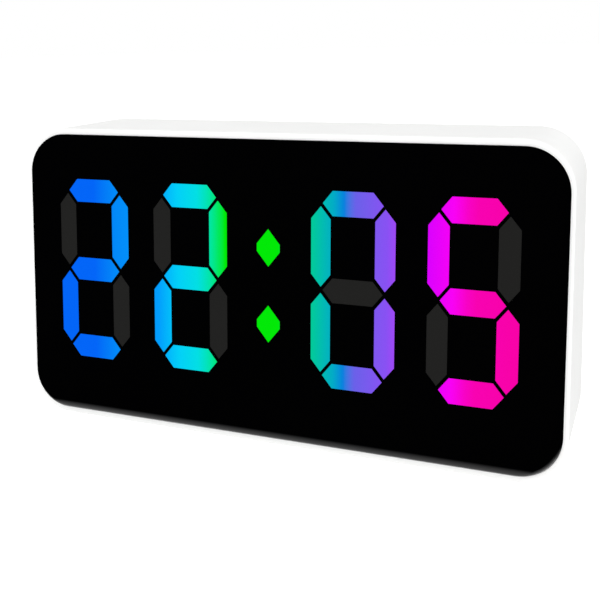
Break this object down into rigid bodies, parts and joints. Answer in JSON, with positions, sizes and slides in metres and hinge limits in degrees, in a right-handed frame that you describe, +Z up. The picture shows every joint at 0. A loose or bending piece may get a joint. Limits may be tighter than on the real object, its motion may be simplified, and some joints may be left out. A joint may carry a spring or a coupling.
{
  "type": "digital led desk clock",
  "caption": "Low wide desk clock with a black leaning front, rainbow seven-segment digits and a white case with keys, socket and battery bay at the back.",
  "frame": {"origin": "middle of the overall footprint, on the surface that the feet stand on", "axes": "+X to the right seen from the front, front faces -Y, +Z up"},
  "size_m": [0.1574, 0.04, 0.0855],
  "materials": {
    "front_black": "gloss",
    "case_white": "fine spark-eroded grain",
    "cover_white": "fine spark-eroded grain",
    "diffuser_lit_1": "satin, lit blue",
    "diffuser_lit_2": "satin, lit cyan to green",
    "diffuser_lit_3": "satin, lit green to violet",
    "diffuser_lit_4": "satin, lit violet to pink",
    "diffuser_lit_colon": "satin, lit green",
    "diffuser_dark": "satin",
    "well_white": "satin",
    "board_green": "solder resist",
    "led_body": "satin",
    "chip_black": "moulded",
    "tinned_metal": "tinned",
    "steel_can": "satin",
    "capacitor_sleeve": "shrunk sleeve",
    "buzzer_black": "moulded",
    "connector_cream": "moulded",
    "ribbon_grey": "satin",
    "switch_black": "moulded",
    "button_white": "satin",
    "cell_sleeve": "plain printed sleeve",
    "plated_contact": "nickel plated",
    "screw_steel": "zinc plated",
    "foot_rubber": "matt"
  },
  "bodies": {
    "clock": {"alarm_buzzer": "buzzer_black", "battery_cells": "cell_sleeve", "board_screws": "screw_steel", "case_screws": "screw_steel", "case_shell": "case_white", "chip_legs": "tinned_metal", "colon_dots": "diffuser_lit_colon", "controller_chip": "chip_black", "digit_1_dark": "diffuser_dark", "digit_1_lit": "diffuser_lit_1", "digit_2_dark": "diffuser_dark", "digit_2_lit": "diffuser_lit_2", "digit_3_dark": "diffuser_dark", "digit_3_lit": "diffuser_lit_3", "digit_4_dark": "diffuser_dark", "digit_4_lit": "diffuser_lit_4", "display_driver_chip": "chip_black", "display_screws": "screw_steel", "flat_contacts": "plated_contact", "front_panel": "front_black", "led_board": "board_green", "light_well_frame": "well_white", "main_board": "board_green", "power_socket": "steel_can", "rear_cover": "cover_white", "ribbon_cable": "ribbon_grey", "ribbon_connectors": "connector_cream", "rubber_feet": "foot_rubber", "segment_leds": "led_body", "smoothing_capacitor": "capacitor_sleeve", "spring_contacts": "plated_contact", "switch_bodies": "switch_black", "timing_crystal": "steel_can"},
    "alarm_key": {"alarm_button": "button_white", "alarm_plunger": "switch_black"},
    "down_key": {"down_button": "button_white", "down_plunger": "switch_black"},
    "up_key": {"up_button": "button_white", "up_plunger": "switch_black"},
    "set_key": {"set_button": "button_white", "set_plunger": "switch_black"},
    "mode_key": {"mode_button": "button_white", "mode_plunger": "switch_black"},
    "door": {"battery_door": "cover_white"}
  },
  "joints": [
    {"name": "alarm_press", "type": "slide", "parent": "clock", "child": "alarm_key", "axis": [0, -1, 0], "range_m": [0, 0.0005], "stiffness_N_per_m": 800},
    {"name": "down_press", "type": "slide", "parent": "clock", "child": "down_key", "axis": [0, -1, 0], "range_m": [0, 0.0005], "stiffness_N_per_m": 800},
    {"name": "up_press", "type": "slide", "parent": "clock", "child": "up_key", "axis": [0, -1, 0], "range_m": [0, 0.0005], "stiffness_N_per_m": 800},
    {"name": "set_press", "type": "slide", "parent": "clock", "child": "set_key", "axis": [0, -1, 0], "range_m": [0, 0.0005], "stiffness_N_per_m": 800},
    {"name": "mode_press", "type": "slide", "parent": "clock", "child": "mode_key", "axis": [0, -1, 0], "range_m": [0, 0.0005], "stiffness_N_per_m": 800},
    {"name": "door_lift_off", "type": "slide", "parent": "clock", "child": "door", "axis": [0, 1, 0], "range_m": [0, 0.03]}
  ]
}
